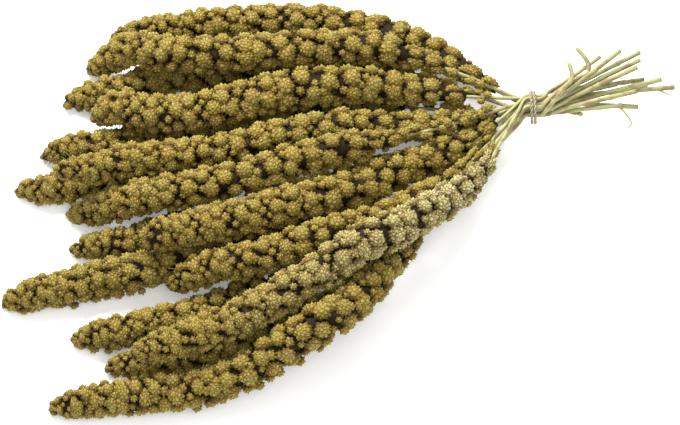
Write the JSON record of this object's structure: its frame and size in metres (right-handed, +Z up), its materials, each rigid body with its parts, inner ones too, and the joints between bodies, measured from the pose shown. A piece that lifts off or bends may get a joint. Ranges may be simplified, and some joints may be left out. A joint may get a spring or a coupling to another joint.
{
  "type": "tied bunch of dried millet seed heads",
  "caption": "Tied bunch of dried foxtail millet sprays lying flat: long knobbly seed heads fanned one way, cut stems the other, bound by a winding of twine.",
  "frame": {"origin": "middle of the footprint of the bunch, on the surface it lies on", "axes": "+X from the seed-head tips towards the cut stem ends, +Y away from the viewer across the fan of heads, +Z up"},
  "size_m": [0.4383, 0.3315, 0.0691],
  "materials": {
    "seed_head": "matte",
    "pale_seed_head": "matte",
    "stem": "satin",
    "twine": "matte"
  },
  "bodies": {
    "root": {"head_01": "seed_head", "head_02": "seed_head", "head_03": "seed_head", "head_04": "seed_head", "head_05": "seed_head", "head_06": "seed_head", "head_07": "seed_head", "head_08": "seed_head", "head_09": "seed_head", "head_10": "seed_head", "head_11": "seed_head", "head_12": "seed_head", "head_13": "seed_head", "head_14": "pale_seed_head", "head_15": "seed_head", "head_16": "seed_head", "stem_01": "stem", "stem_02": "stem", "stem_03": "stem", "stem_04": "stem", "stem_05": "stem", "stem_06": "stem", "stem_07": "stem", "stem_08": "stem", "stem_09": "stem", "stem_10": "stem", "stem_11": "stem", "stem_12": "stem", "stem_13": "stem", "stem_14": "stem", "stem_15": "stem", "stem_16": "stem", "tie": "twine"}
  },
  "joints": []
}
